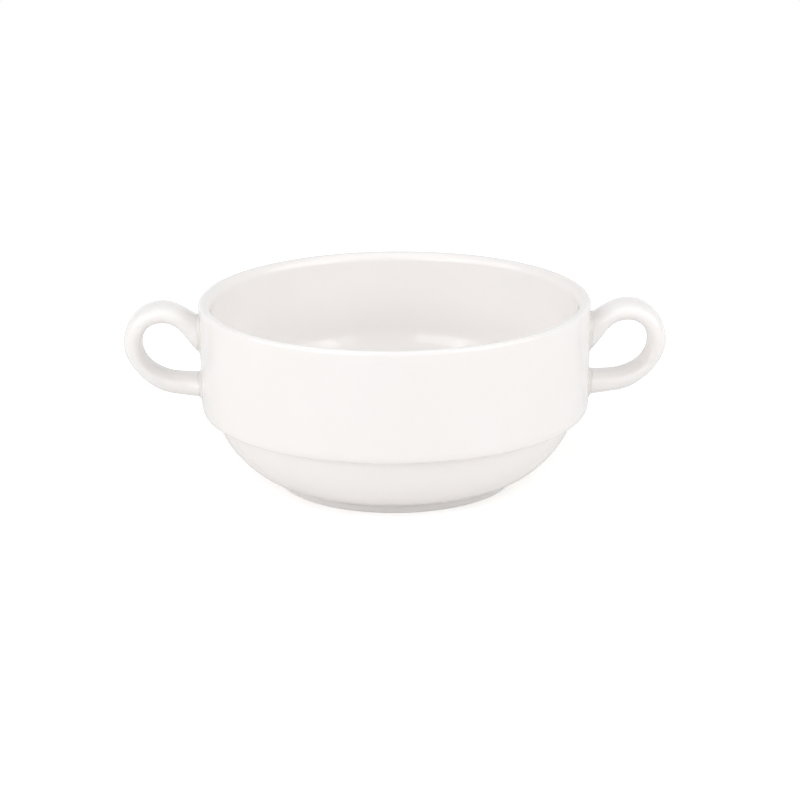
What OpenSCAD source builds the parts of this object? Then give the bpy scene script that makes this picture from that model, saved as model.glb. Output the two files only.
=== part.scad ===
/*
Lug soup bowl of white glazed porcelain, stackable, with two loop handles.
The origin is the centre of the foot's base, with Z up and the handles along X.
Lengths are in millimetres. Each handle is cast apart and stuck to the wall with slip,
so a film of slip with a small squeezed-out fillet lies between each end and the wall.
*/

/* [Bowl] */
// Diameter across the rim, without the handles
rim_d = 110; // [100:1:120]
// Height from the table to the top of the rim
bowl_h = 52.2; // [48:0.2:60]
// Thickness of the upper wall
wall_t = 3.45; // [2.8:0.05:4.2]
// How far the upper wall draws in below the lip, on the radius
wall_draft = 0.4; // [0.1:0.05:1]
// Thickness of the floor inside the foot ring
floor_t = 3.9; // [3:0.1:5]
// Diameter of the flat part of the floor inside
floor_flat_d = 52; // [40:1:60]

/* [Lip] */
// Radius that rounds the lip outside
lip_round = 1.2; // [0.8:0.1:1.6]
// Height of the long rounding inside the lip
lip_bevel_h = 2.6; // [1.4:0.1:3.6]

/* [Stacking step] */
// Height of the step's ledge above the table
step_h = 21; // [19:0.2:23]
// Width of the ledge that rests on the bowl below
ledge_w = 2.7; // [1.8:0.1:2.8]
// Clearance round the lower part where it stands inside another bowl's lip
stack_gap = 0.6; // [0.4:0.1:1.2]
// Height of the rounding under the upper wall
band_round_h = 2.5; // [1.4:0.1:2.6]
// Radius in the inner corner of the ledge
ledge_fillet = 0.6; // [0.3:0.1:1]
// Thickness of the wall behind the ledge's corner
step_wall_t = 3.7; // [3:0.1:4.5]

/* [Foot ring] */
// Outer diameter of the foot ring
foot_d = 66.8; // [58:0.2:72]
// Height of the foot ring outside
foot_h = 3; // [2:0.1:3.2]
// Width of the foot ring
foot_w = 3.7; // [3:0.1:4.5]
// Radius that rounds both edges of the foot ring's base
foot_round = 0.5; // [0.3:0.05:0.7]
// Radius between the foot ring and the bowl
foot_fillet = 1.3; // [0.8:0.1:1.5]
// Depth of the recess inside the foot ring
recess_h = 2.5; // [2:0.1:3.2]
// Radius in the corner of the recess
recess_fillet = 1.6; // [0.8:0.1:1.8]

/* [Handles] */
// How far a handle stands out of the wall
handle_reach = 21.4; // [18:0.2:26]
// Thickness of the handle, seen from the front
handle_t = 5.5; // [4.5:0.1:6.5]
// Width of the handle, seen from the side
handle_w = 12; // [9:0.2:14]
// Height of the rim above the top of the handle
handle_drop = 0.7; // [0:0.1:3]
// Height of the rim above the handle's upper root
upper_root_drop = 5.1; // [4.4:0.1:6.5]
// Height of the upper root on the wall, as a share of the loop's height
upper_root_share = 0.363; // [0.3:0.001:0.39]
// Height of the lower root's underside above the ledge
lower_root_rise = 3.6; // [3.4:0.1:5]
// Height of the lower root on the wall, as a share of the loop's height
lower_root_share = 0.232; // [0.19:0.001:0.25]
// How far the lower arm's underside rises from the wall to the loop
arm_rise = 1; // [0:0.1:2.5]
// Extra width of the handle where it meets the wall
root_flare = 1; // [0:0.1:2]
// Distance from the wall over which the extra width fades
flare_reach = 4.5; // [3:0.1:6]

/* [Slip joints] */
// Thickness of the slip between a handle and the wall
slip_film = 0.35; // [0.2:0.05:0.6]
// Radius of the slip's fillet round a root
slip_fillet = 1.2; // [0.8:0.1:1.4]

/* [Hidden] */
$fn = 180;

// Cutting tools run past what they cut by this much
overrun = 0.3;
// The handle's ends start this deep inside the wall before they are cut
bury = 1.6;
// Steps in a small rounding, in a long curve of the bowl and in each quarter of the handle
round_steps = 6;
curve_steps = 18;
quarter_steps = 11;
// Sides of the handle's section
section_sides = 28;
// Above 2 the section is an oval with fuller shoulders than an ellipse
section_power = 2.4;
// The slip's fillet is part of a quarter circle, without its thin ends
fillet_start = 15;
fillet_end = 75;
fillet_steps = 4;

// Heights and radii of the bowl
rim_r = rim_d / 2;
lip_z = bowl_h - lip_round;
band_z = step_h + band_round_h;
bevel_z = bowl_h - lip_bevel_h;
floor_z = recess_h + floor_t;
foot_r = foot_d / 2;
recess_r = foot_r - foot_w;
ledge_root_r = wall_r(bevel_z) - wall_t - stack_gap;
ledge_edge_r = ledge_root_r + ledge_w;

// Outline of the lower bowl, from its top to the foot ring: shares of the span out from
// and up from the foot ring's top
lower_bowl_shares = [[1, 1], [0.88, 0.5], [0.34, 0], [0, 0]];
// Inside, the wall turns in above the ledge: shares from the turn's end to its start
shoulder_shares = [[1, 1], [0.94, 0.54], [0.37, 0.34], [0, 0]];
// Height of that turn's start over the ledge, and of its end under it, as shares of the ledge's height
shoulder_top_share = 0.45;
shoulder_end_share = 0.06;
// Inside, the bowl runs down to the flat floor: shares from the floor's edge
inner_bowl_shares = [[1, 1], [0.87, 0.545], [0.66, 0], [0, 0]];

// Heights of the handle
handle_top = bowl_h - handle_drop;
hole_top = handle_top - handle_t;
lower_root_low = step_h + lower_root_rise;
arm_low = lower_root_low + arm_rise;
arm_top = arm_low + handle_t;
loop_h = handle_top - arm_low;
upper_root_h = upper_root_share * loop_h;
lower_root_h = lower_root_share * loop_h;
upper_root_top = bowl_h - upper_root_drop;
upper_root_low = upper_root_top - upper_root_h;
lower_root_top = lower_root_low + lower_root_h;
// The loop is a little thinner at its side than at its top
side_share = 0.95;
hole_reach = handle_reach - side_share * handle_t;
// The loop stands out furthest at this share of the height from its arm to its top
widest_share = 0.55;
widest_z = mix(arm_low, handle_top, widest_share);
root_x = wall_r(widest_z);

// Side view of the loop's outer edge from the upper root over the top to the lower root:
// how far out, as a share of the reach, beside a height. Every third point lies on the edge.
outer_line = [
    [0, upper_root_top],
    [0.16 * handle_reach, mix(upper_root_top, handle_top, 0.4)],
    [0.3 * handle_reach, handle_top],
    [0.49 * handle_reach, handle_top],
    [0.79 * handle_reach, handle_top],
    [handle_reach, mix(widest_z, handle_top, 0.52)],
    [handle_reach, widest_z],
    [handle_reach, mix(arm_low, widest_z, 0.66)],
    [0.71 * handle_reach, mix(arm_low, widest_z, 0.09)],
    [0.36 * handle_reach, arm_low],
    [0.24 * handle_reach, mix(lower_root_low, arm_low, 0.65)],
    [0.1 * handle_reach, mix(lower_root_low, arm_low, 0.1)],
    [0, lower_root_low]
];
// Side view of the finger hole's edge, point for point beside the outer edge
hole_line = [
    [0, upper_root_low],
    [0.18 * hole_reach, mix(upper_root_low, hole_top, 0.1)],
    [0.26 * hole_reach, hole_top],
    [0.64 * hole_reach, hole_top],
    [0.87 * hole_reach, hole_top],
    [hole_reach, mix(widest_z, hole_top, 0.56)],
    [hole_reach, widest_z],
    [hole_reach, mix(arm_top, widest_z, 0.49)],
    [0.83 * hole_reach, mix(arm_top, widest_z, 0.16)],
    [0.5 * hole_reach, arm_top],
    [0.34 * hole_reach, mix(lower_root_top, arm_top, 0.2)],
    [0.16 * hole_reach, lower_root_top],
    [0, lower_root_top]
];
quarters = 4;

function mix(a, b, share) = a + (b - a) * share;

function bezier(p, t) =
    pow(1 - t, 3) * p[0]
    + 3 * pow(1 - t, 2) * t * p[1]
    + 3 * (1 - t) * pow(t, 2) * p[2]
    + pow(t, 3) * p[3];

// Points of a curve whose control points are shares of the box from one corner to another
function curve(shares, from, to) =
    [for (i = [0 : curve_steps])
        let (s = bezier(shares, i / curve_steps))
        [mix(from.x, to.x, s.x), mix(from.y, to.y, s.y)]];

// Points of a quarter of an ellipse about a centre
function quarter(centre, size_x, size_y, start, turn) =
    [for (i = [0 : round_steps])
        let (a = start + turn * i / round_steps)
        [centre.x + size_x * cos(a), centre.y + size_y * sin(a)]];

// Outer radius of the upper wall at a height: one straight, slightly conical line
function wall_r(z) = rim_r - wall_draft * (lip_z - z) / (lip_z - band_z);

// Place on a handle's edge line, from 0 at the upper root to 4 at the lower root
function on_line(line, s) =
    let (k = min(floor(s), quarters - 1))
    bezier([for (i = [0 : 3]) line[3 * k + i]], s - k);

// Full width of the handle at a distance from the wall
function width_at(x) =
    handle_w + root_flare * pow(min(1, max(0, 1 - x / flare_reach)), 2);

function oval(value) = sign(value) * pow(abs(value), 2 / section_power);

// One closed ring of the handle's section, between a point of each edge line
function section(outer, hole, shift) =
    let (
        middle = (outer + hole) / 2,
        half = (outer - hole) / 2,
        half_w = width_at(middle.x) / 2
    )
    [for (i = [0 : section_sides - 1])
        let (
            a = 360 * i / section_sides,
            p = middle + half * oval(cos(a))
        )
        [root_x + p.x + shift, half_w * oval(sin(a)), p.y]];

function handle_ring(s, shift) = section(on_line(outer_line, s), on_line(hole_line, s), shift);

// Height of an edge line near a root, at a distance from the wall
function edge_z(root, next, x) = root.y + (next.y - root.y) * x / (next.x - root.x);

// One ring of the slip's collar: the root's section at a distance from the wall, grown all
// round and bent to follow the round wall
function collar_ring(top, top_next, low, low_next, x, grow, shift) =
    let (
        top_z = edge_z(top, top_next, x) + grow,
        low_z = edge_z(low, low_next, x) - grow,
        half_w = width_at(x) / 2 + grow,
        half_h = (top_z - low_z) / 2,
        middle_z = (top_z + low_z) / 2
    )
    [for (i = [0 : section_sides - 1])
        let (
            a = 360 * i / section_sides,
            y = half_w * oval(sin(a))
        )
        [sqrt(pow(root_x, 2) - pow(y, 2)) + x + shift, y, middle_z + half_h * oval(cos(a))]];

// Solid through a list of rings with equally many points
module loft(rings) {
    sides = len(rings[0]);
    last = len(rings) - 1;
    polyhedron(
        points = [for (ring = rings) each ring],
        faces = concat(
            [[for (i = [sides - 1 : -1 : 0]) i]],
            [for (k = [0 : last - 1], i = [0 : sides - 1])
                let (j = (i + 1) % sides)
                each [
                    [k * sides + i, (k + 1) * sides + j, (k + 1) * sides + i],
                    [k * sides + i, k * sides + j, (k + 1) * sides + j]
                ]],
            [[for (i = [0 : sides - 1]) last * sides + i]]
        )
    );
}

// Everything inside the upper wall's outer face, or inside a face that lies further out
module wall_space(further_out) {
    rotate_extrude()
        polygon([
            [0, 0],
            [wall_r(0) + further_out, 0],
            [wall_r(bowl_h + overrun) + further_out, bowl_h + overrun],
            [0, bowl_h + overrun]
        ]);
}

// A whole handle on the right side, with its ends cut to leave room for the slip
module handle() {
    rings = concat(
        [handle_ring(0, -bury)],
        [for (i = [0 : quarters * quarter_steps]) handle_ring(i / quarter_steps, 0)],
        [handle_ring(quarters, -bury)]
    );
    difference() {
        loft(rings);
        wall_space(slip_film);
    }
}

// The same handle near one root alone, for cutting the slip to it
module handle_end(first) {
    end_steps = 4;
    steps = [for (i = [0 : end_steps]) first ? i : quarters * quarter_steps - i];
    rings = concat(
        [handle_ring(first ? 0 : quarters, -bury)],
        [for (i = steps) handle_ring(i / quarter_steps, 0)]
    );
    difference() {
        loft(first ? rings : [for (i = [len(rings) - 1 : -1 : 0]) rings[i]]);
        wall_space(slip_film);
    }
}

// The slip at one root: a film against the wall and a hollow fillet round the handle's end
module slip_joint(first) {
    top_line = first ? outer_line : hole_line;
    low_line = first ? hole_line : outer_line;
    root = first ? 0 : len(outer_line) - 1;
    next = first ? 1 : len(outer_line) - 2;
    arc = [for (i = [0 : fillet_steps]) mix(fillet_start, fillet_end, i / fillet_steps)];
    grows = concat(
        [slip_fillet * (1 - sin(arc[0]))],
        [for (a = arc) slip_fillet * (1 - sin(a))],
        [-overrun]
    );
    outs = concat([0], [for (a = arc) slip_fillet * (1 - cos(a))], [slip_fillet * (1 - cos(fillet_end))]);
    difference() {
        loft([for (k = [0 : len(grows) - 1])
            collar_ring(
                top_line[root], top_line[next], low_line[root], low_line[next],
                outs[k], grows[k], k == 0 ? -bury : 0
            )]);
        handle_end(first);
        wall_space(0);
    }
}

// Sub-parts

module bowl_body() {
    foot_top_r = foot_r + foot_fillet;
    shoulder_z = step_h * (1 + shoulder_top_share);
    shoulder_end = [ledge_root_r - step_wall_t, step_h * (1 - shoulder_end_share)];
    shoulder_start = [wall_r(shoulder_z) - wall_t, shoulder_z];
    lip_r = rim_r - lip_round;
    color([0.96, 0.95, 0.93])
        rotate_extrude()
            polygon(concat(
                [[0, recess_h]],
                quarter([recess_r - recess_fillet, recess_h - recess_fillet],
                    recess_fillet, recess_fillet, 90, -90),
                quarter([recess_r + foot_round, foot_round], foot_round, foot_round, 180, 90),
                quarter([foot_r - foot_round, foot_round], foot_round, foot_round, 270, 90),
                quarter([foot_top_r, foot_h - foot_fillet], foot_fillet, foot_fillet, 180, -90),
                [for (i = [curve_steps - 1 : -1 : 0])
                    curve(lower_bowl_shares, [foot_top_r, foot_h],
                        [ledge_root_r, step_h - ledge_fillet])[i]],
                [for (i = [1 : round_steps])
                    quarter([ledge_root_r + ledge_fillet, step_h - ledge_fillet],
                        ledge_fillet, ledge_fillet, 180, -90)[i]],
                quarter([ledge_edge_r, band_z], wall_r(band_z) - ledge_edge_r, band_round_h, 270, 90),
                quarter([lip_r, lip_z], lip_round, lip_round, 0, 90),
                [for (i = [1 : round_steps])
                    quarter([lip_r, bevel_z], lip_r - wall_r(bevel_z) + wall_t, lip_bevel_h, 90, 90)[i]],
                curve(shoulder_shares, shoulder_end, shoulder_start),
                [for (i = [1 : curve_steps])
                    curve(inner_bowl_shares, [floor_flat_d / 2, floor_z], shoulder_end)[i]],
                [[0, floor_z]]
            ));
}

module right_handle() {
    color([0.95, 0.94, 0.92])
        handle();
}

module left_handle() {
    color([0.95, 0.94, 0.92])
        mirror([1, 0, 0])
            handle();
}

module right_upper_slip_joint() {
    color([0.93, 0.92, 0.9])
        slip_joint(true);
}

module right_lower_slip_joint() {
    color([0.93, 0.92, 0.9])
        slip_joint(false);
}

module left_upper_slip_joint() {
    color([0.93, 0.92, 0.9])
        mirror([1, 0, 0])
            slip_joint(true);
}

module left_lower_slip_joint() {
    color([0.93, 0.92, 0.9])
        mirror([1, 0, 0])
            slip_joint(false);
}

bowl_body();
left_handle();
right_handle();
left_upper_slip_joint();
left_lower_slip_joint();
right_upper_slip_joint();
right_lower_slip_joint();
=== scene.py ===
"""A stacking lug soup bowl of white glazed porcelain, standing on a pale table.

The frame has its origin at the centre of the foot, Z up and the handles along X. Lengths are
written in millimetres times MM, apart from the lamps' places and sizes, which are in metres.
"""

import math

import bpy
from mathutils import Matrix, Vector


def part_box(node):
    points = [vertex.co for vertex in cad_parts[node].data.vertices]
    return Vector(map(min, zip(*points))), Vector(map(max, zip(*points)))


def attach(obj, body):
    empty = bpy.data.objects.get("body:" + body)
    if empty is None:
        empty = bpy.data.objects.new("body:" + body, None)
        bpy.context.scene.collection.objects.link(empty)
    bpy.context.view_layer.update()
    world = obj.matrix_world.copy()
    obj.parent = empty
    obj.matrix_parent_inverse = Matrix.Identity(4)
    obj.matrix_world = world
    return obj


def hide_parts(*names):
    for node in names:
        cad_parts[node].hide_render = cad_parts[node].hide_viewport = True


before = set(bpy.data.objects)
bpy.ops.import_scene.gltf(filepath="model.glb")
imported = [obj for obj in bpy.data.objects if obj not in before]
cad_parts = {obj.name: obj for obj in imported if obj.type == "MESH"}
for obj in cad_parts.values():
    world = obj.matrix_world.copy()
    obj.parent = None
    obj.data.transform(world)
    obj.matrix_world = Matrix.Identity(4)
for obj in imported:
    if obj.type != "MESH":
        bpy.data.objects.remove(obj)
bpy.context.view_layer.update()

MM = 0.001

# Bowl
RIM_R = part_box("bowl_body")[1].y
BOWL_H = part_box("bowl_body")[1].z
WALL_T = 3.45 * MM
WALL_DRAFT = 0.4 * MM
FLOOR_T = 3.9 * MM
FLOOR_FLAT_R = 26 * MM
LIP_ROUND = 1.2 * MM
LIP_BEVEL_H = 2.6 * MM
STEP_H = 21 * MM
LEDGE_W = 2.7 * MM
STACK_GAP = 0.6 * MM
BAND_ROUND_H = 2.5 * MM
LEDGE_FILLET = 0.6 * MM
STEP_WALL_T = 3.7 * MM
FOOT_R = 33.4 * MM
FOOT_H = 3 * MM
FOOT_W = 3.7 * MM
FOOT_ROUND = 0.5 * MM
FOOT_FILLET = 1.3 * MM
RECESS_H = 2.5 * MM
RECESS_FILLET = 1.6 * MM

# Curves of the bowl, as shares of the box from one end of the curve to the other
LOWER_BOWL_SHARES = [(0, 0), (0.34, 0), (0.88, 0.5), (1, 1)]
INNER_BOWL_SHARES = [(1, 1), (0.87, 0.545), (0.66, 0), (0, 0)]
SHOULDER_SHARES = [(1, 1), (0.94, 0.54), (0.37, 0.34), (0, 0)]
SHOULDER_TOP_SHARE = 0.45
SHOULDER_END_SHARE = 0.06

# Handles
HANDLE_T = 5.5 * MM
HANDLE_W = 12 * MM
HANDLE_DROP = 0.7 * MM
UPPER_ROOT_DROP = 5.1 * MM
UPPER_ROOT_SHARE = 0.363
LOWER_ROOT_RISE = 3.6 * MM
LOWER_ROOT_SHARE = 0.232
ARM_RISE = 1 * MM
# Thickness of the loop at its side as a share of HANDLE_T, and the height of its widest place
# as a share of its own height
SIDE_SHARE = 0.95
WIDEST_SHARE = 0.55
ROOT_FLARE = 1 * MM
FLARE_REACH = 4.5 * MM
SECTION_POWER = 2.4

# Slip between the handles and the wall
SLIP_FILM = 0.35 * MM
SLIP_FILLET = 1.2 * MM
# The fillet covers this part of its quarter circle
FILLET_START = math.radians(12)
FILLET_END = math.radians(84)
# How deep the fillet's inner side lies inside the handle
SINK = 0.15 * MM

# Fineness of the meshes
TURNS = 240
ROUND_STEPS = 10
CURVE_STEPS = 32
LOOP_STEPS = 24
SECTION_SIDES = 64
FILLET_STEPS = 10
# Sizes of the smaller rings that close a tube, as shares of the ring at its end
CAP_SHARES = [0.02, 0.35, 0.7]
# A straight run has a point this close to each end, and others about a long step apart
SUPPORT = 0.4 * MM
LONG_STEP = 3 * MM
# Faces of a handle or of its slip that meet at less than this angle are shaded as one
SMOOTH_ANGLE = math.radians(35)

# Heights and radii that follow from these
LIP_Z = BOWL_H - LIP_ROUND
LIP_R = RIM_R - LIP_ROUND
BAND_Z = STEP_H + BAND_ROUND_H
BEVEL_Z = BOWL_H - LIP_BEVEL_H
FLOOR_Z = RECESS_H + FLOOR_T
RECESS_R = FOOT_R - FOOT_W


def wall_r(z):
    """Outer radius of the upper wall at a height."""
    return RIM_R - WALL_DRAFT * (LIP_Z - z) / (LIP_Z - BAND_Z)


LEDGE_ROOT_R = wall_r(BEVEL_Z) - WALL_T - STACK_GAP
LEDGE_EDGE_R = LEDGE_ROOT_R + LEDGE_W


def mix(a, b, share):
    return a + (b - a) * share


def bezier(points, t):
    """A place on a cubic curve with four control points."""
    a, b, c, d = (Vector(p) for p in points)
    return a * (1 - t) ** 3 + b * 3 * (1 - t) ** 2 * t + c * 3 * (1 - t) * t**2 + d * t**3


# Pieces are shaped by operators, which act on all that is selected


def select_only(piece):
    bpy.ops.object.select_all(action="DESELECT")
    piece.select_set(True)
    bpy.context.view_layer.objects.active = piece


def new_piece(name):
    """Names the object that was just added and opens it with everything selected."""
    piece = bpy.context.object
    piece.name = name
    piece.data.name = name
    bpy.ops.object.mode_set(mode="EDIT")
    bpy.ops.mesh.select_all(action="SELECT")
    return piece


def close_shell():
    """Merges doubles, turns the faces outwards and leaves edit mode."""
    bpy.ops.mesh.select_all(action="SELECT")
    bpy.ops.mesh.remove_doubles(threshold=0.002 * MM)
    bpy.ops.mesh.normals_make_consistent(inside=False)
    bpy.ops.object.mode_set(mode="OBJECT")
    bpy.ops.object.transform_apply(location=True, rotation=True, scale=True)


# Bowl


def straight(a, b):
    """Points of a straight run, with one close to each end so that shading stays true there."""
    length = (b - a).length
    along = (b - a).normalized()
    count = max(1, round((length - 2 * SUPPORT) / LONG_STEP))
    inner = [mix(SUPPORT, length - SUPPORT, i / count) for i in range(count + 1)]
    return [a + along * d for d in inner] + [b]


def curve(shares, start, end):
    """Points of a curve whose control points are shares of the box from start to end."""
    places = [bezier(shares, i / CURVE_STEPS) for i in range(1, CURVE_STEPS + 1)]
    return [Vector((mix(start.x, end.x, p.x), 0, mix(start.z, end.z, p.y))) for p in places]


def curve_down(shares, start, end):
    """The same for shares that count from the curve's lower end."""
    places = [bezier(shares, i / CURVE_STEPS) for i in range(1, CURVE_STEPS + 1)]
    return [Vector((mix(end.x, start.x, p.x), 0, mix(end.z, start.z, p.y))) for p in places]


def rounding(centre_r, centre_z, size_r, size_z, start, turn):
    """Points of a quarter of an ellipse, without its first."""
    angles = [math.radians(start + turn * i / ROUND_STEPS) for i in range(1, ROUND_STEPS + 1)]
    return [
        Vector((centre_r + size_r * math.cos(a), 0, centre_z + size_z * math.sin(a)))
        for a in angles
    ]


def bowl_profile():
    """The bowl's section from the centre of its underside, round the lip, to the centre inside."""
    line = [Vector((0, 0, RECESS_H))]

    def run_to(r, z):
        line.extend(straight(line[-1], Vector((r, 0, z))))

    def round_off(centre_r, centre_z, size, start, turn):
        line.extend(rounding(centre_r, centre_z, size, size, start, turn))

    run_to(RECESS_R - RECESS_FILLET, RECESS_H)
    round_off(RECESS_R - RECESS_FILLET, RECESS_H - RECESS_FILLET, RECESS_FILLET, 90, -90)
    line.append(Vector((RECESS_R, 0, FOOT_ROUND)))
    round_off(RECESS_R + FOOT_ROUND, FOOT_ROUND, FOOT_ROUND, 180, 90)
    run_to(FOOT_R - FOOT_ROUND, 0)
    round_off(FOOT_R - FOOT_ROUND, FOOT_ROUND, FOOT_ROUND, 270, 90)
    run_to(FOOT_R, FOOT_H - FOOT_FILLET)
    round_off(FOOT_R + FOOT_FILLET, FOOT_H - FOOT_FILLET, FOOT_FILLET, 180, -90)
    ledge_root = Vector((LEDGE_ROOT_R, 0, STEP_H - LEDGE_FILLET))
    line.extend(curve(LOWER_BOWL_SHARES, line[-1], ledge_root))
    round_off(LEDGE_ROOT_R + LEDGE_FILLET, STEP_H - LEDGE_FILLET, LEDGE_FILLET, 180, -90)
    run_to(LEDGE_EDGE_R, STEP_H)
    band_w = wall_r(BAND_Z) - LEDGE_EDGE_R
    line.extend(rounding(LEDGE_EDGE_R, BAND_Z, band_w, BAND_ROUND_H, 270, 90))
    run_to(RIM_R, LIP_Z)
    round_off(LIP_R, LIP_Z, LIP_ROUND, 0, 90)
    bevel_w = LIP_R - wall_r(BEVEL_Z) + WALL_T
    line.extend(rounding(LIP_R, BEVEL_Z, bevel_w, LIP_BEVEL_H, 90, 90))
    shoulder_z = STEP_H * (1 + SHOULDER_TOP_SHARE)
    run_to(wall_r(shoulder_z) - WALL_T, shoulder_z)
    shoulder_end = Vector((LEDGE_ROOT_R - STEP_WALL_T, 0, STEP_H * (1 - SHOULDER_END_SHARE)))
    line.extend(curve_down(SHOULDER_SHARES, line[-1], shoulder_end))
    line.extend(curve_down(INNER_BOWL_SHARES, line[-1], Vector((FLOOR_FLAT_R, 0, FLOOR_Z))))
    run_to(0, FLOOR_Z)
    return line


def make_bowl():
    """The profile is drawn from one vertex and spun into the closed body."""
    line = bowl_profile()
    bpy.ops.object.select_all(action="DESELECT")
    bpy.ops.mesh.primitive_plane_add(size=MM, location=line[0])
    piece = new_piece("porcelain_bowl")
    bpy.ops.mesh.merge(type="CENTER")
    for a, b in zip(line, line[1:]):
        bpy.ops.mesh.extrude_vertices_move(TRANSFORM_OT_translate={"value": b - a})
    bpy.ops.mesh.select_all(action="SELECT")
    bpy.ops.mesh.spin(steps=TURNS, angle=math.tau, center=(0, 0, 0), axis=(0, 0, 1))
    close_shell()
    bpy.ops.object.shade_smooth()
    return piece


# Handles

HANDLE_TOP = BOWL_H - HANDLE_DROP
HOLE_TOP = HANDLE_TOP - HANDLE_T
LOWER_ROOT_LOW = STEP_H + LOWER_ROOT_RISE
ARM_LOW = LOWER_ROOT_LOW + ARM_RISE
ARM_TOP = ARM_LOW + HANDLE_T
LOOP_H = HANDLE_TOP - ARM_LOW
UPPER_ROOT_TOP = BOWL_H - UPPER_ROOT_DROP
UPPER_ROOT_LOW = UPPER_ROOT_TOP - UPPER_ROOT_SHARE * LOOP_H
LOWER_ROOT_TOP = LOWER_ROOT_LOW + LOWER_ROOT_SHARE * LOOP_H
WIDEST_Z = mix(ARM_LOW, HANDLE_TOP, WIDEST_SHARE)
ROOT_X = wall_r(WIDEST_Z)
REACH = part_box("right_handle")[1].x - ROOT_X
HOLE_REACH = REACH - SIDE_SHARE * HANDLE_T

# Side views of the loop's outer edge and of the finger hole's edge, from the upper root over
# the top to the lower root. Every third point lies on the edge.
OUTER_LINE = [
    (0, UPPER_ROOT_TOP),
    (0.16 * REACH, mix(UPPER_ROOT_TOP, HANDLE_TOP, 0.4)),
    (0.3 * REACH, HANDLE_TOP),
    (0.49 * REACH, HANDLE_TOP),
    (0.79 * REACH, HANDLE_TOP),
    (REACH, mix(WIDEST_Z, HANDLE_TOP, 0.52)),
    (REACH, WIDEST_Z),
    (REACH, mix(ARM_LOW, WIDEST_Z, 0.66)),
    (0.71 * REACH, mix(ARM_LOW, WIDEST_Z, 0.09)),
    (0.36 * REACH, ARM_LOW),
    (0.24 * REACH, mix(LOWER_ROOT_LOW, ARM_LOW, 0.65)),
    (0.1 * REACH, mix(LOWER_ROOT_LOW, ARM_LOW, 0.1)),
    (0, LOWER_ROOT_LOW),
]
HOLE_LINE = [
    (0, UPPER_ROOT_LOW),
    (0.18 * HOLE_REACH, mix(UPPER_ROOT_LOW, HOLE_TOP, 0.1)),
    (0.26 * HOLE_REACH, HOLE_TOP),
    (0.64 * HOLE_REACH, HOLE_TOP),
    (0.87 * HOLE_REACH, HOLE_TOP),
    (HOLE_REACH, mix(WIDEST_Z, HOLE_TOP, 0.56)),
    (HOLE_REACH, WIDEST_Z),
    (HOLE_REACH, mix(ARM_TOP, WIDEST_Z, 0.49)),
    (0.83 * HOLE_REACH, mix(ARM_TOP, WIDEST_Z, 0.16)),
    (0.5 * HOLE_REACH, ARM_TOP),
    (0.34 * HOLE_REACH, mix(LOWER_ROOT_TOP, ARM_TOP, 0.2)),
    (0.16 * HOLE_REACH, LOWER_ROOT_TOP),
    (0, LOWER_ROOT_TOP),
]
# Each edge line is this many curves, one after another
QUARTERS = 4
# The turn of a ring that stands against the wall
UPRIGHT = -math.pi / 2


def on_line(line, s):
    """Place on an edge line, from 0 at the upper root to 4 at the lower root."""
    k = min(int(s), QUARTERS - 1)
    return bezier(line[3 * k : 3 * k + 4], s - k)


def width_at(x):
    """Width of the handle at a distance from the wall."""
    return HANDLE_W + ROOT_FLARE * min(1, max(0, 1 - x / FLARE_REACH)) ** 2


def ring(middle, half_t, half_w, turn):
    """One ring of a swept tube: its centre, its two half sizes and its turn about Y."""
    centre = Vector((ROOT_X + middle.x, 0, middle.y))
    return {"centre": centre, "t": half_t, "w": half_w, "turn": turn}


def loop_ring(s):
    outer, hole = on_line(OUTER_LINE, s), on_line(HOLE_LINE, s)
    half = (outer - hole) / 2
    middle = hole + half
    return ring(middle, half.length, width_at(middle.x) / 2, math.atan2(-half.y, half.x))


def capped(rings):
    """Rings with smaller ones before and after them, which close the tube's ends."""
    start = [dict(rings[0], t=rings[0]["t"] * c, w=rings[0]["w"] * c) for c in CAP_SHARES]
    end = [dict(rings[-1], t=rings[-1]["t"] * c, w=rings[-1]["w"] * c) for c in CAP_SHARES]
    return start + rings + end[::-1]


def fuller_oval(value):
    """Moves a coordinate of a circle out to an oval with fuller shoulders."""
    return math.copysign(abs(value) ** (2 / SECTION_POWER), value)


def turn_about_y(angle, centre):
    """Turns what is selected, where a positive angle takes X down towards -Z."""
    bpy.ops.transform.rotate(value=-angle, orient_axis="Y", center_override=centre)


def sweep(name, rings):
    """A closed tube: an oval drawn out, scaled and turned from ring to ring."""
    bpy.ops.object.select_all(action="DESELECT")
    bpy.ops.mesh.primitive_circle_add(vertices=SECTION_SIDES, radius=1, fill_type="NGON")
    for v in bpy.context.object.data.vertices:
        v.co = (fuller_oval(v.co.x), fuller_oval(v.co.y), 0)
    piece = new_piece(name)
    first = rings[0]
    bpy.ops.transform.resize(value=(first["t"], first["w"], 1), center_override=(0, 0, 0))
    turn_about_y(first["turn"], (0, 0, 0))
    bpy.ops.transform.translate(value=first["centre"])
    for a, b in zip(rings, rings[1:]):
        step = b["centre"] - a["centre"]
        bpy.ops.mesh.extrude_region_move(TRANSFORM_OT_translate={"value": step})
        turn_about_y(-a["turn"], b["centre"])
        bpy.ops.transform.resize(
            value=(b["t"] / a["t"], b["w"] / a["w"], 1), center_override=b["centre"]
        )
        turn_about_y(b["turn"], b["centre"])
    close_shell()
    return piece


def on_wall(vertex, out):
    """Moves a vertex along X to its distance from the round wall."""
    radius = wall_r(vertex.co.z) + out
    vertex.co.x = math.sqrt(radius**2 - vertex.co.y**2)


def make_handle():
    """The loop, whose two flat ends are then set round on the slip."""
    rings = [loop_ring(i / LOOP_STEPS) for i in range(QUARTERS * LOOP_STEPS + 1)]
    piece = sweep("right_loop_handle", capped(rings))
    for v in piece.data.vertices:
        if v.co.x < ROOT_X + SLIP_FILM:
            on_wall(v, SLIP_FILM)
    return piece


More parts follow.
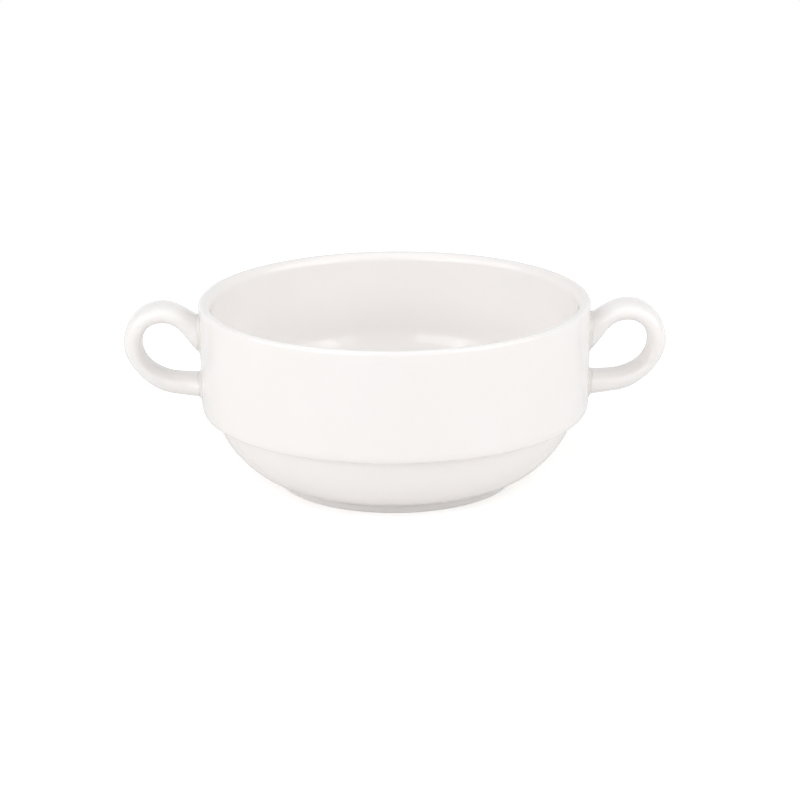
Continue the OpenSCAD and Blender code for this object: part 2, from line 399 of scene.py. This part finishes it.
def make_slip(name, top, low):
    """The slip at one root: a film on the wall with a hollow fillet round the handle's end.
    top and low are the two points nearest the root on the edge lines above and below it."""

    def edge_z(line, x):
        (x0, z0), (x1, z1) = line
        return z0 + (z1 - z0) * (x - x0) / (x1 - x0)

    def collar_ring(out, grow):
        high, deep = edge_z(top, out) + grow, edge_z(low, out) - grow
        middle = Vector((out, (high + deep) / 2))
        return ring(middle, (high - deep) / 2, width_at(out) / 2 + grow, UPRIGHT)

    angles = [mix(FILLET_START, FILLET_END, i / FILLET_STEPS) for i in range(FILLET_STEPS + 1)]
    grows = [SLIP_FILLET * (1 - math.sin(a)) for a in angles]
    outs = [SLIP_FILLET * (1 - math.cos(a)) for a in angles]
    rings = [collar_ring(0, grows[0])]
    rings += [collar_ring(out, grow) for out, grow in zip(outs, grows)]
    rings += [collar_ring(outs[-1], -SINK), collar_ring(SLIP_FILM, -SINK)]
    piece = sweep(name, capped(rings))
    for v in piece.data.vertices:
        on_wall(v, v.co.x - ROOT_X)
    return piece


def mirrored(piece, name):
    """The same piece on the other side of the bowl."""
    select_only(piece)
    bpy.ops.object.duplicate()
    copy = new_piece(name)
    bpy.ops.transform.resize(value=(-1, 1, 1), center_override=(0, 0, 0))
    close_shell()
    return copy


# Finishes

PORCELAIN = "#F8F5F4"
PORCELAIN_CLOUD = "#F7F4F2"
# The next two are greyer whites of painted shade: the first in the corner under the ledge, in the
# foot's recess and on the slip, the second on the slip round the handles' roots.
PAINTED_SHADE_WHITE = "#EFECE9"
SLIP_PAINTED_SHADE = "#EAE6E1"
BISCUIT = "#F4F1ED"
GLAZE_IOR = 1.5
GLAZE_ROUGHNESS = 0.02
SMUDGE_ROUGHNESS = 0.04
BISCUIT_ROUGHNESS = 0.7
# Some light soaks into the white body and comes out close by, red a little further than blue
SOAK_SHARE = 0.15
SOAK_REACH = 1.5 * MM
SOAK_BY_COLOUR = (1.0, 0.9, 0.8)

# Widths and depths of the glaze's patterns, and the noise values between which they come in
CLOUD_SIZE = 22 * MM
CLOUD_FROM = 0.35
CLOUD_TO = 0.65
SMUDGE_SIZE = 9 * MM
SMUDGE_FROM = 0.4
SMUDGE_TO = 0.7
RIPPLE_SIZE = 12 * MM
RIPPLE_DEPTH = 0.02 * MM
PEEL_SIZE = 1.8 * MM
PEEL_DEPTH = 0.001 * MM
SOFT_DETAIL = 1.0
FINE_DETAIL = 4.0

# Painted shade: the colour takes this share of the greyer white in the corner under the ledge and
# in the foot's recess, fading out within a reach of the corner
SHADE_SHARE = 0.8
LEDGE_SHADE_REACH = 1.4 * MM
RECESS_SHADE_REACH = 1.8 * MM

# The foot is bare up to one height and glazed from another, and both heights wander up by as
# much as WIPE_WANDER in waves of about WIPE_SIZE. The biscuit's grit is finer in life, and is
# drawn as coarse as it needs to show.
BARE_TO = 0.2 * MM
GLAZED_FROM = 0.3 * MM
WIPE_WANDER = 0.25 * MM
WIPE_SIZE = 4 * MM
GRIT_SIZE = 0.35 * MM
GRIT_DEPTH = 0.05 * MM

# A Mix node's sockets for numbers and for colours share their names, so they go by number
NUMBER_A, NUMBER_B, NUMBER_OUT = 2, 3, 0
COLOUR_A, COLOUR_B, COLOUR_OUT = 6, 7, 2


def linear(code):
    """A colour written as sRGB hex, as linear light."""
    parts = [int(code[i : i + 2], 16) / 255 for i in (1, 3, 5)]
    return [p / 12.92 if p <= 0.04045 else ((p + 0.055) / 1.055) ** 2.4 for p in parts] + [1]


def add(tree, kind, inputs=None, **settings):
    """Adds a node with its settings and returns its outputs. An input is a value, or the
    output that feeds it."""
    made = tree.nodes.new(kind)
    for name, value in settings.items():
        setattr(made, name, value)
    for name, value in (inputs or {}).items():
        if isinstance(value, bpy.types.NodeSocket):
            tree.links.new(value, made.inputs[name])
        else:
            made.inputs[name].default_value = value
    return made.outputs


def new_material(name):
    """A material with a bare Principled shader, its tree and its Object coordinates."""
    material = bpy.data.materials.new(name)
    material.use_nodes = True
    tree = material.node_tree
    shader = tree.nodes["Principled BSDF"]
    place = add(tree, "ShaderNodeTexCoord")["Object"]
    return material, tree, shader, place


def near_ring(tree, place, r, z, reach):
    """1 on a circle about the Z axis, fading to 0 at a distance from it."""
    x, y, height = add(tree, "ShaderNodeSeparateXYZ", {0: place})
    flat = add(tree, "ShaderNodeCombineXYZ", {0: x, 1: y})[0]
    radius = add(tree, "ShaderNodeVectorMath", {0: flat}, operation="LENGTH")["Value"]
    off_r = add(tree, "ShaderNodeMath", {0: radius, 1: r}, operation="SUBTRACT")[0]
    off_z = add(tree, "ShaderNodeMath", {0: height, 1: z}, operation="SUBTRACT")[0]
    off = add(tree, "ShaderNodeCombineXYZ", {0: off_r, 1: off_z})[0]
    distance = add(tree, "ShaderNodeVectorMath", {0: off}, operation="LENGTH")["Value"]
    return add(
        tree,
        "ShaderNodeMapRange",
        {"Value": distance, "From Min": 0.0, "From Max": reach, "To Min": 1.0, "To Max": 0.0},
        interpolation_type="SMOOTHSTEP",
    )["Result"]


def glaze_colour(tree, place, colours, shade_rings):
    """Two whites that drift into each other as slow clouds, and a greyer one painted as shade
    round circles (radius, height, reach) in the corners where shade falls."""
    lumps = add(tree, "ShaderNodeTexNoise", {"Vector": place, "Scale": 1 / CLOUD_SIZE})["Fac"]
    cloud = add(
        tree,
        "ShaderNodeMapRange",
        {"Value": lumps, "From Min": CLOUD_FROM, "From Max": CLOUD_TO},
        interpolation_type="SMOOTHSTEP",
    )["Result"]
    whites = {0: cloud, COLOUR_A: linear(colours[0]), COLOUR_B: linear(colours[1])}
    colour = add(tree, "ShaderNodeMix", whites, data_type="RGBA")[COLOUR_OUT]
    for r, z, reach in shade_rings:
        near = near_ring(tree, place, r, z, reach)
        shade_amount = add(tree, "ShaderNodeMath", {0: near, 1: SHADE_SHARE}, operation="MULTIPLY")[0]
        greyer = {0: shade_amount, COLOUR_A: colour, COLOUR_B: linear(PAINTED_SHADE_WHITE)}
        colour = add(tree, "ShaderNodeMix", greyer, data_type="RGBA")[COLOUR_OUT]
    return colour


def glaze_roughness(tree, place):
    """An even wet gloss, with faint smudges that shine a little less."""
    lumps = {"Vector": place, "Scale": 1 / SMUDGE_SIZE, "Detail": FINE_DETAIL}
    smudge = add(tree, "ShaderNodeTexNoise", lumps)["Fac"]
    return add(
        tree,
        "ShaderNodeMapRange",
        {
            "Value": smudge,
            "From Min": SMUDGE_FROM,
            "From Max": SMUDGE_TO,
            "To Min": GLAZE_ROUGHNESS,
            "To Max": SMUDGE_ROUGHNESS,
        },
        interpolation_type="SMOOTHSTEP",
    )["Result"]


def glaze_relief(tree, place):
    """The slow ripple and the fine peel that a sprayed glaze keeps when it melts."""
    lumps = {"Vector": place, "Scale": 1 / RIPPLE_SIZE, "Detail": SOFT_DETAIL}
    ripple = add(tree, "ShaderNodeTexNoise", lumps)["Fac"]
    peel = add(tree, "ShaderNodeTexNoise", {"Vector": place, "Scale": 1 / PEEL_SIZE})["Fac"]
    rippled = add(tree, "ShaderNodeBump", {"Height": ripple, "Distance": RIPPLE_DEPTH})["Normal"]
    peeled = {"Height": peel, "Distance": PEEL_DEPTH, "Normal": rippled}
    return add(tree, "ShaderNodeBump", peeled)["Normal"]


def wiped_foot(tree, place, colour, roughness, normal):
    """Dusty matt biscuit on the base of the foot, up to a line that wanders, and the given
    glaze above it."""
    height = add(tree, "ShaderNodeSeparateXYZ", {0: place})[2]
    waves = add(tree, "ShaderNodeTexNoise", {"Vector": place, "Scale": 1 / WIPE_SIZE})["Fac"]
    wander = add(tree, "ShaderNodeMath", {0: waves, 1: WIPE_WANDER}, operation="MULTIPLY")[0]
    level = add(tree, "ShaderNodeMath", {0: height, 1: wander}, operation="SUBTRACT")[0]
    bare = add(
        tree,
        "ShaderNodeMapRange",
        {
            "Value": level,
            "From Min": BARE_TO,
            "From Max": GLAZED_FROM,
            "To Min": 1.0,
            "To Max": 0.0,
        },
        interpolation_type="SMOOTHSTEP",
    )["Result"]
    lumps = {"Vector": place, "Scale": 1 / GRIT_SIZE, "Detail": FINE_DETAIL}
    grain = add(tree, "ShaderNodeTexNoise", lumps)["Fac"]
    dust = {0: grain, COLOUR_A: linear(BISCUIT), COLOUR_B: linear(PORCELAIN_CLOUD)}
    dusty = add(tree, "ShaderNodeMix", dust, data_type="RGBA")[COLOUR_OUT]
    wiped = {0: bare, COLOUR_A: colour, COLOUR_B: dusty}
    colour = add(tree, "ShaderNodeMix", wiped, data_type="RGBA")[COLOUR_OUT]
    matt = {0: bare, NUMBER_A: roughness, NUMBER_B: BISCUIT_ROUGHNESS}
    roughness = add(tree, "ShaderNodeMix", matt)[NUMBER_OUT]
    grit = add(tree, "ShaderNodeMath", {0: grain, 1: bare}, operation="MULTIPLY")[0]
    gritty = {"Height": grit, "Distance": GRIT_DEPTH, "Normal": normal}
    normal = add(tree, "ShaderNodeBump", gritty)["Normal"]
    return colour, roughness, normal


def glazed_porcelain(name, colours, shade_rings=(), bare_foot=False):
    """Vitrified porcelain, pressed or cast, under a clear glaze that was sprayed on and melted:
    a warm white body with a wet gloss over it. A bare foot was wiped clean before firing and
    shows the matt biscuit."""
    material, tree, shader, place = new_material(name)
    colour = glaze_colour(tree, place, colours, shade_rings)
    roughness = glaze_roughness(tree, place)
    normal = glaze_relief(tree, place)
    if bare_foot:
        colour, roughness, normal = wiped_foot(tree, place, colour, roughness, normal)
    shader.inputs["IOR"].default_value = GLAZE_IOR
    shader.inputs["Subsurface Weight"].default_value = SOAK_SHARE
    shader.inputs["Subsurface Radius"].default_value = SOAK_BY_COLOUR
    shader.inputs["Subsurface Scale"].default_value = SOAK_REACH
    tree.links.new(colour, shader.inputs["Base Color"])
    tree.links.new(roughness, shader.inputs["Roughness"])
    tree.links.new(normal, shader.inputs["Normal"])
    return material


def dress(piece, material, slot, *nodes):
    """Gives a piece its finish and its place in the frame, and lets it stand for CAD nodes."""
    piece.data.materials.clear()
    piece.data.materials.append(material)
    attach(piece, "root")
    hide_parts(*nodes)


bowl = make_bowl()
right_handle = make_handle()
right_upper = make_slip("right_upper_slip", OUTER_LINE[:2], HOLE_LINE[:2])
right_lower = make_slip(
    "right_lower_slip", (HOLE_LINE[-1], HOLE_LINE[-2]), (OUTER_LINE[-1], OUTER_LINE[-2])
)
left_handle = mirrored(right_handle, "left_loop_handle")
left_upper = mirrored(right_upper, "left_upper_slip")
left_lower = mirrored(right_lower, "left_lower_slip")
for stuck_piece in (right_handle, left_handle, right_upper, right_lower, left_upper, left_lower):
    select_only(stuck_piece)
    bpy.ops.object.shade_smooth_by_angle(angle=SMOOTH_ANGLE)

glazed_body = glazed_porcelain(
    "glazed_porcelain_body",
    (PORCELAIN, PORCELAIN_CLOUD),
    # Painted shade: a greyer white in the corner under the ledge and in the recess under the foot
    shade_rings=[
        (LEDGE_ROOT_R, STEP_H, LEDGE_SHADE_REACH),
        (RECESS_R, RECESS_H, RECESS_SHADE_REACH),
    ],
    bare_foot=True,
)
glazed_handle = glazed_porcelain("glazed_porcelain_handle", (PORCELAIN, PORCELAIN_CLOUD))
# The slip's two whites are painted shade, darker round the handles' roots
glazed_slip = glazed_porcelain("glazed_porcelain_slip_painted_shade", (SLIP_PAINTED_SHADE, PAINTED_SHADE_WHITE))
dress(bowl, glazed_body, "glazed_body", "bowl_body")
dress(right_handle, glazed_handle, "glazed_handle", "right_handle")
dress(left_handle, glazed_handle, "glazed_handle", "left_handle")
dress(right_upper, glazed_slip, "glazed_slip", "right_upper_slip_joint")
dress(right_lower, glazed_slip, "glazed_slip", "right_lower_slip_joint")
dress(left_upper, glazed_slip, "glazed_slip", "left_upper_slip_joint")
dress(left_lower, glazed_slip, "glazed_slip", "left_lower_slip_joint")


# Table, light and camera

TABLE = "#F7F6F5"
TABLE_ROUGHNESS = 0.9
TABLE_SIZE = 1200 * MM
# The table lies this far under the foot, so that their faces don't share a plane
TABLE_GAP = 0.02 * MM
# The table, where it is seen, has this much light of its own round the bowl, which leaves the
# shadow in it, and grows to pure white between two distances from the middle. The glaze
# mirrors only a share of that light, so the bowl stands out from the white behind it.
TABLE_LIFT = 0.38
TABLE_LIFT_IN_GLOSS = 0.3
WHITE_FROM = 160 * MM
WHITE_AT = 400 * MM
# The point that the lamps and the camera face
BOWL_MIDDLE = Vector((0, 0, 25 * MM))
# Each lamp's place and size in metres, and its power in watts
LIGHTS = [
    ("left_softbox", (-0.75, -0.3, 0.5), (0.8, 0.7), 2.75),
    ("right_softbox", (0.75, -0.3, 0.5), (0.8, 0.7), 3.3),
    ("front_left_softbox", (-0.55, -0.88, 0.45), (0.65, 0.5), 2.35),
    ("front_right_softbox", (0.67, -0.8, 0.45), (0.45, 0.4), 0.9),
    ("high_front_softbox", (0.0, -0.45, 0.8), (1.0, 0.8), 0.75),
    ("overhead_softbox", (0.0, -0.1, 0.9), (1.0, 1.0), 1.6),
]
# Strength of the tent's light from in front, from behind and from straight above
FRONT_WALL_LIGHT = 0.4
REAR_WALL_LIGHT = 1.0
TOP_LIGHT = 0.05


def seen_directly(tree, in_gloss=1.0):
    """1 for rays from the camera or through glass, in_gloss for rays off a glossy surface, and
    0 for the light that falls on surfaces."""
    rays = add(tree, "ShaderNodeLightPath")
    off_gloss = {0: rays["Is Glossy Ray"], 1: in_gloss}
    mirrored_share = add(tree, "ShaderNodeMath", off_gloss, operation="MULTIPLY")[0]
    straight_on = {0: rays["Is Camera Ray"], 1: rays["Is Transmission Ray"]}
    shown = add(tree, "ShaderNodeMath", straight_on, operation="MAXIMUM")[0]
    return add(tree, "ShaderNodeMath", {0: shown, 1: mirrored_share}, operation="MAXIMUM")[0]


def lay_table():
    """A matt painted board: an even white with no shine, which keeps the bowl's soft shadow."""
    bpy.ops.mesh.primitive_plane_add(size=TABLE_SIZE, location=(0, 0, -TABLE_GAP))
    table = bpy.context.object
    table.name = "table"
    material, tree, shader, place = new_material("matt_white_table")
    shader.inputs["Base Color"].default_value = linear(TABLE)
    shader.inputs["Roughness"].default_value = TABLE_ROUGHNESS
    shader.inputs["Specular IOR Level"].default_value = 0.0
    away = add(tree, "ShaderNodeVectorMath", {0: place}, operation="LENGTH")["Value"]
    paling = add(
        tree,
        "ShaderNodeMapRange",
        {
            "Value": away,
            "From Min": WHITE_FROM,
            "From Max": WHITE_AT,
            "To Min": TABLE_LIFT,
            "To Max": 1.0,
        },
        interpolation_type="SMOOTHSTEP",
    )["Result"]
    seen = seen_directly(tree, TABLE_LIFT_IN_GLOSS)
    lift = add(tree, "ShaderNodeMath", {0: seen, 1: paling}, operation="MULTIPLY")[0]
    shader.inputs["Emission Color"].default_value = (1, 1, 1, 1)
    tree.links.new(lift, shader.inputs["Emission Strength"])
    table.data.materials.append(material)


def hang_lights():
    """Softboxes that face the bowl and aren't seen by the camera."""
    for name, place, size, power in LIGHTS:
        bpy.ops.object.light_add(type="AREA", location=place)
        lamp = bpy.context.object
        lamp.name = name
        lamp.data.shape = "RECTANGLE"
        lamp.data.size, lamp.data.size_y = size
        lamp.data.energy = power
        lamp.rotation_euler = (BOWL_MIDDLE - Vector(place)).to_track_quat("-Z", "Y").to_euler()
        lamp.visible_camera = False


def light_world():
    """A light tent: soft light from its walls, most from the rear one, and a little from its
    top. It is white wherever it is seen."""
    world = bpy.data.worlds.new("white_studio")
    bpy.context.scene.world = world
    world.use_nodes = True
    tree = world.node_tree
    way = add(tree, "ShaderNodeTexCoord")["Generated"]
    _, ahead, up = add(tree, "ShaderNodeSeparateXYZ", {0: way})
    walls = add(
        tree,
        "ShaderNodeMapRange",
        {
            "Value": ahead,
            "From Min": -1.0,
            "From Max": 1.0,
            "To Min": FRONT_WALL_LIGHT,
            "To Max": REAR_WALL_LIGHT,
        },
    )["Result"]
    upwards = {"Value": up, "From Min": 0.0, "From Max": 1.0, "To Min": walls, "To Max": TOP_LIGHT}
    tent = add(tree, "ShaderNodeMapRange", upwards)["Result"]
    seen = seen_directly(tree)
    strength = add(tree, "ShaderNodeMix", {0: seen, NUMBER_A: tent, NUMBER_B: 1.0})[NUMBER_OUT]
    background = tree.nodes["Background"]
    background.inputs["Color"].default_value = (1, 1, 1, 1)
    tree.links.new(strength, background.inputs["Strength"])


# The tilt and roll are angles in radians. The focal length, and the place in the picture of
# the point that the camera faces, are in pixels.
CAMERA_TILT = math.radians(16.85)
CAMERA_ROLL = 0.0076
CAMERA_DISTANCE = 820 * MM
PICTURE_PX = 800
FOCAL_PX = 2896.5
MIDDLE_PX = (395.2, 390.8)
SENSOR = 36.0


def place_camera():
    """The camera stands where the photograph's did, and looks at the middle of the bowl."""
    back = Vector((0, -math.cos(CAMERA_TILT), math.sin(CAMERA_TILT)))
    bpy.ops.object.camera_add(location=BOWL_MIDDLE + back * CAMERA_DISTANCE)
    camera = bpy.context.object
    camera.rotation_euler = (math.pi / 2 - CAMERA_TILT, 0, 0)
    camera.rotation_euler.rotate_axis("Z", -CAMERA_ROLL)
    camera.data.sensor_width = SENSOR
    camera.data.lens = SENSOR * FOCAL_PX / PICTURE_PX
    camera.data.shift_x = 0.5 - MIDDLE_PX[0] / PICTURE_PX
    camera.data.shift_y = MIDDLE_PX[1] / PICTURE_PX - 0.5
    bpy.context.scene.camera = camera


lay_table()
hang_lights()
light_world()
place_camera()
bpy.context.scene.view_settings.view_transform = "Standard"
